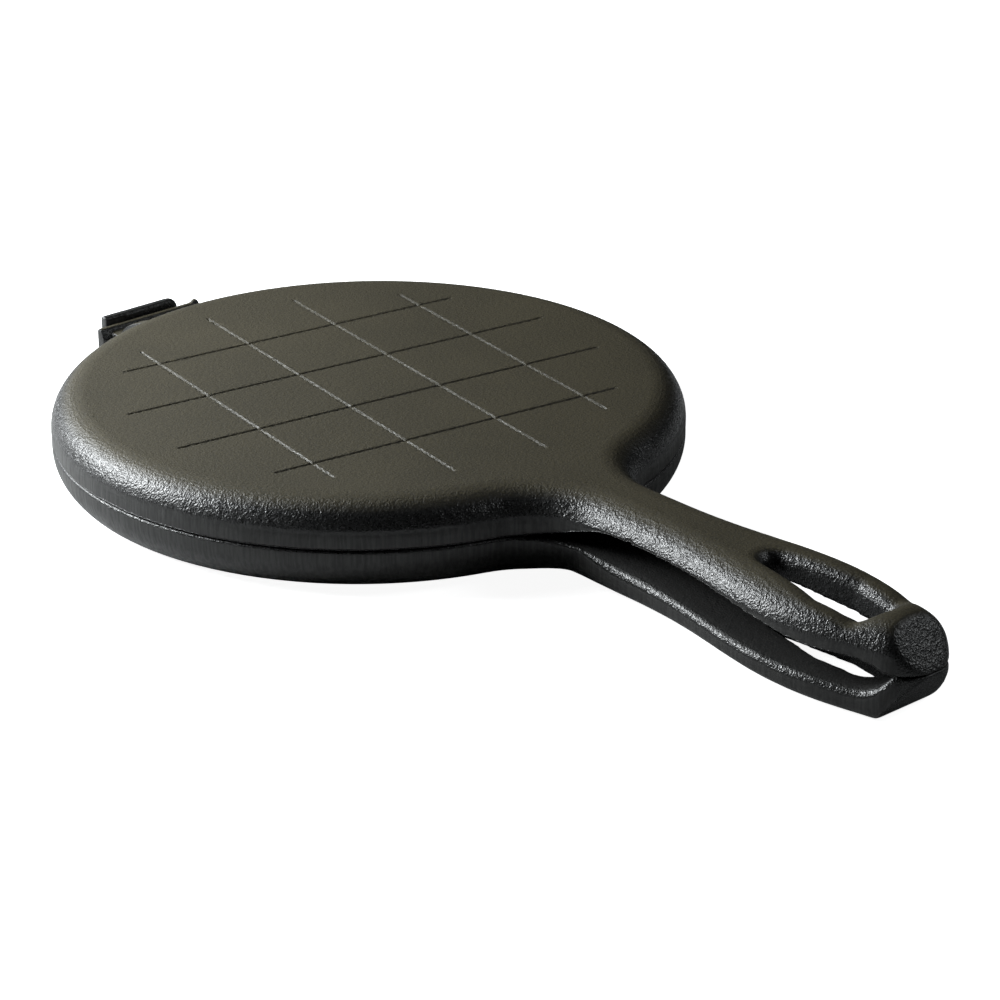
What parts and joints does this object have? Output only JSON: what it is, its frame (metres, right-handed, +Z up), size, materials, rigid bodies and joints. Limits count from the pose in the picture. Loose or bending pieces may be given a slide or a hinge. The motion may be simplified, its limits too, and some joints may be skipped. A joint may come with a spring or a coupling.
{
  "type": "waffle cone maker",
  "caption": "Hand-held stove-top waffle cone iron: round cast-iron plates on a lift-off hinge, with slotted handles that lie over each other.",
  "frame": {"origin": "centre of the lower plate's flat underside, where the iron rests", "axes": "+Z up through the plates, handles along -Y, hinge axis parallel to X behind the plates at +Y"},
  "size_m": [0.21, 0.3783, 0.0305],
  "materials": {
    "cast_iron": "seasoned sand-cast, fine orange-peel texture, ground smooth along the parting line"
  },
  "bodies": {
    "lower": {"lower_plate": "cast_iron"},
    "upper": {"upper_plate": "cast_iron"}
  },
  "joints": [
    {"name": "plate_hinge", "type": "hinge", "parent": "lower", "child": "upper", "pos_m": [0, 0.121, 0.0188], "axis": [-1, 0, 0], "range_deg": [0, 110]}
  ]
}
